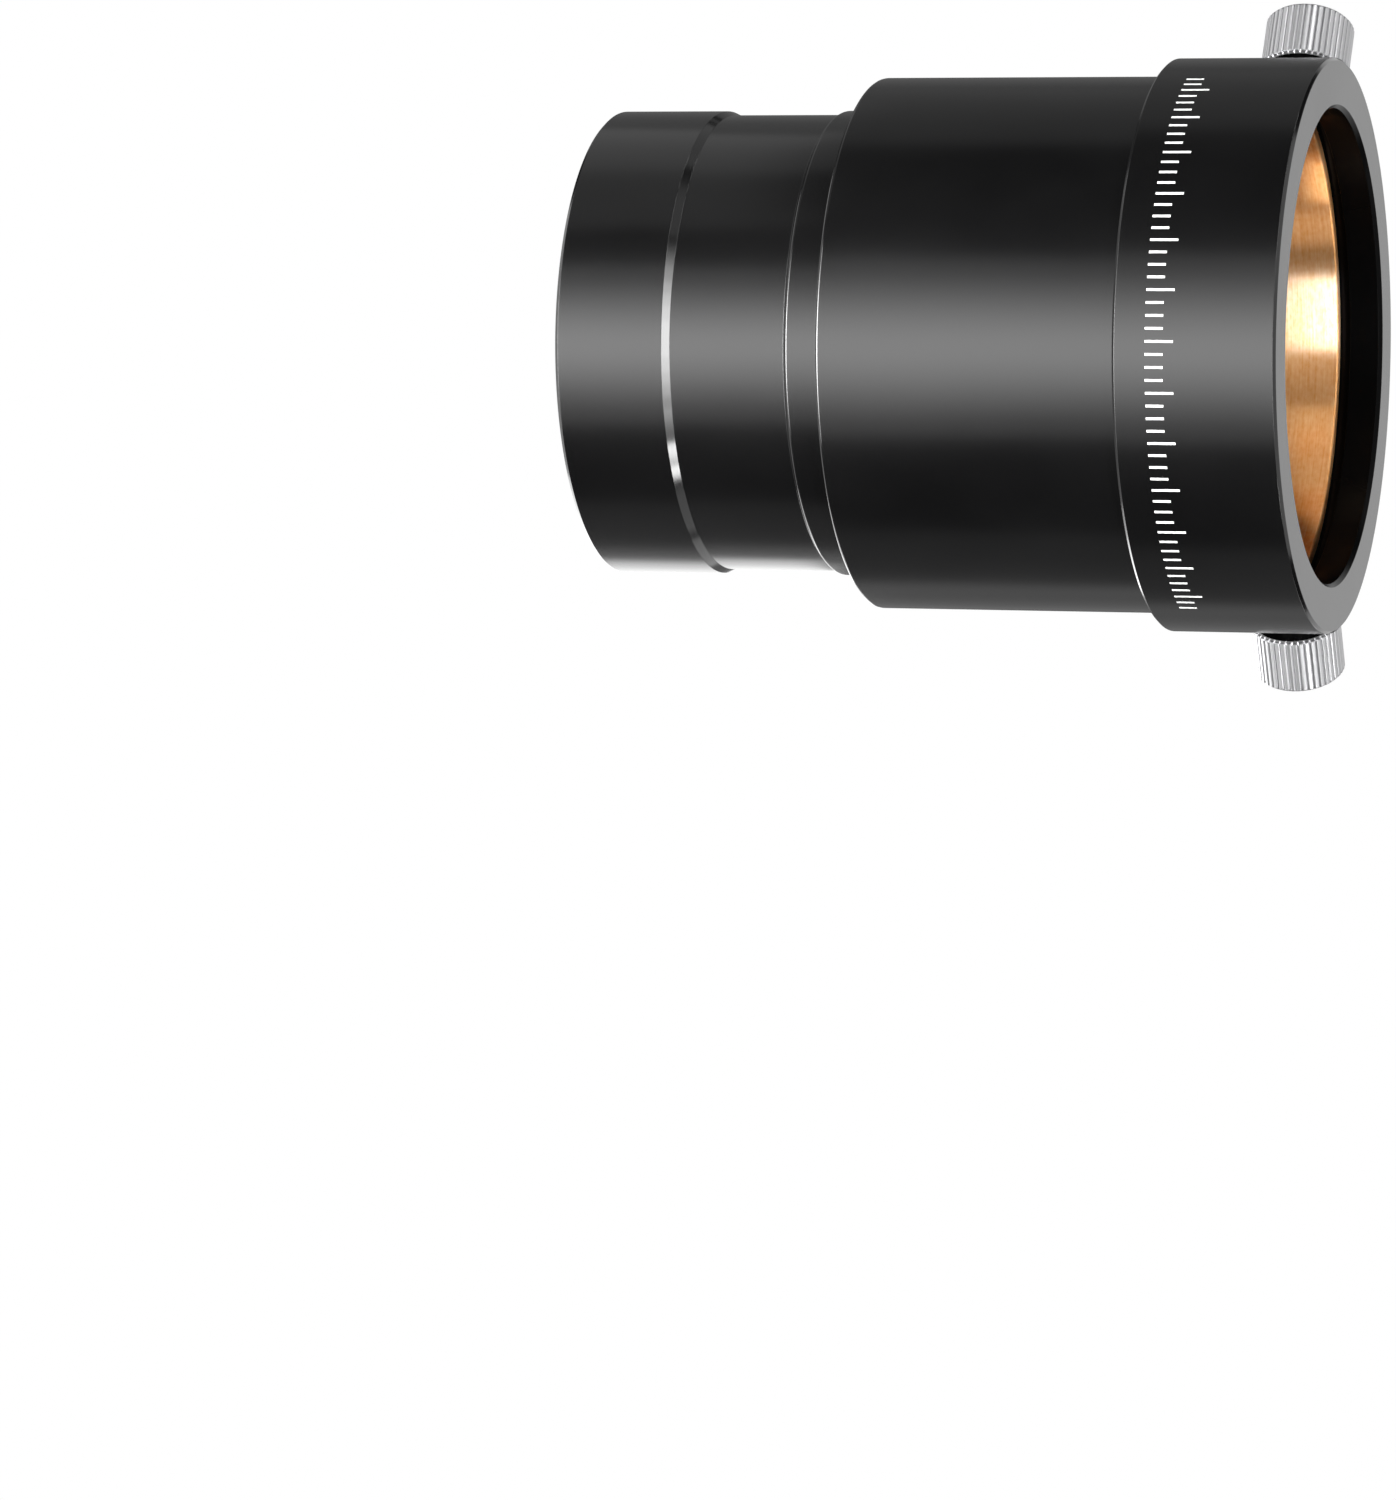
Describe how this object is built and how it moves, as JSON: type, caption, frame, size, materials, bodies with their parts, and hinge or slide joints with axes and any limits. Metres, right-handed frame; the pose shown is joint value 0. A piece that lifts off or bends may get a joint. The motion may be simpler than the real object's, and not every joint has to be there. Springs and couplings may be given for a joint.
{
  "type": "telescope extension tube",
  "caption": "Telescope extension tube: undercut nosepiece, plain body and a clamping collar whose split brass ring is squeezed by knurled thumbscrews.",
  "frame": {"origin": "centre of the nosepiece's mouth, on the face the tube stands on", "axes": "+Z along the optical axis from the nosepiece towards the eyepiece socket; +X and +Y across it, with the two thumbscrews at 30 and 150 degrees from +X towards +Y"},
  "size_m": [0.0756, 0.0618, 0.08],
  "materials": {
    "anodised_black": "black anodised, fine turned, satin gloss",
    "brass_ring": "brushed round the ring",
    "chrome_head": "nickel-chrome plated over a straight knurl",
    "steel_stud": "rolled thread, bright"
  },
  "bodies": {
    "housing": {"nosepiece": "anodised_black", "body_tube": "anodised_black", "clamp_collar": "anodised_black"},
    "compression_ring": {"compression_ring": "brass_ring"},
    "left_stud": {"left_thumbscrew_stud": "steel_stud"},
    "left_head": {"left_thumbscrew_head": "chrome_head"},
    "right_stud": {"right_thumbscrew_stud": "steel_stud"},
    "right_head": {"right_thumbscrew_head": "chrome_head"}
  },
  "joints": [
    {"name": "ring_float", "type": "slide", "parent": "housing", "child": "compression_ring", "axis": [0, -1, 0], "range_m": [0, 0.0003]},
    {"name": "left_screw_travel", "type": "slide", "parent": "housing", "child": "left_stud", "axis": [0.866, -0.5, 0], "range_m": [-0.0028, 0.00094]},
    {"name": "left_screw_turn", "type": "hinge", "parent": "left_stud", "child": "left_head", "pos_m": [-0.03204, 0.0185, 0.0725], "axis": [0.866, -0.5, 0], "range_deg": [-1440, 486]},
    {"name": "right_screw_travel", "type": "slide", "parent": "housing", "child": "right_stud", "axis": [-0.866, -0.5, 0], "range_m": [-0.0028, 0.00094]},
    {"name": "right_screw_turn", "type": "hinge", "parent": "right_stud", "child": "right_head", "pos_m": [0.03204, 0.0185, 0.0725], "axis": [-0.866, -0.5, 0], "range_deg": [-1440, 486]}
  ],
  "couplings": [
    {"joint": "left_screw_turn", "follows": "left_screw_travel", "rad_per_m": 8976},
    {"joint": "right_screw_turn", "follows": "right_screw_travel", "rad_per_m": 8976}
  ]
}
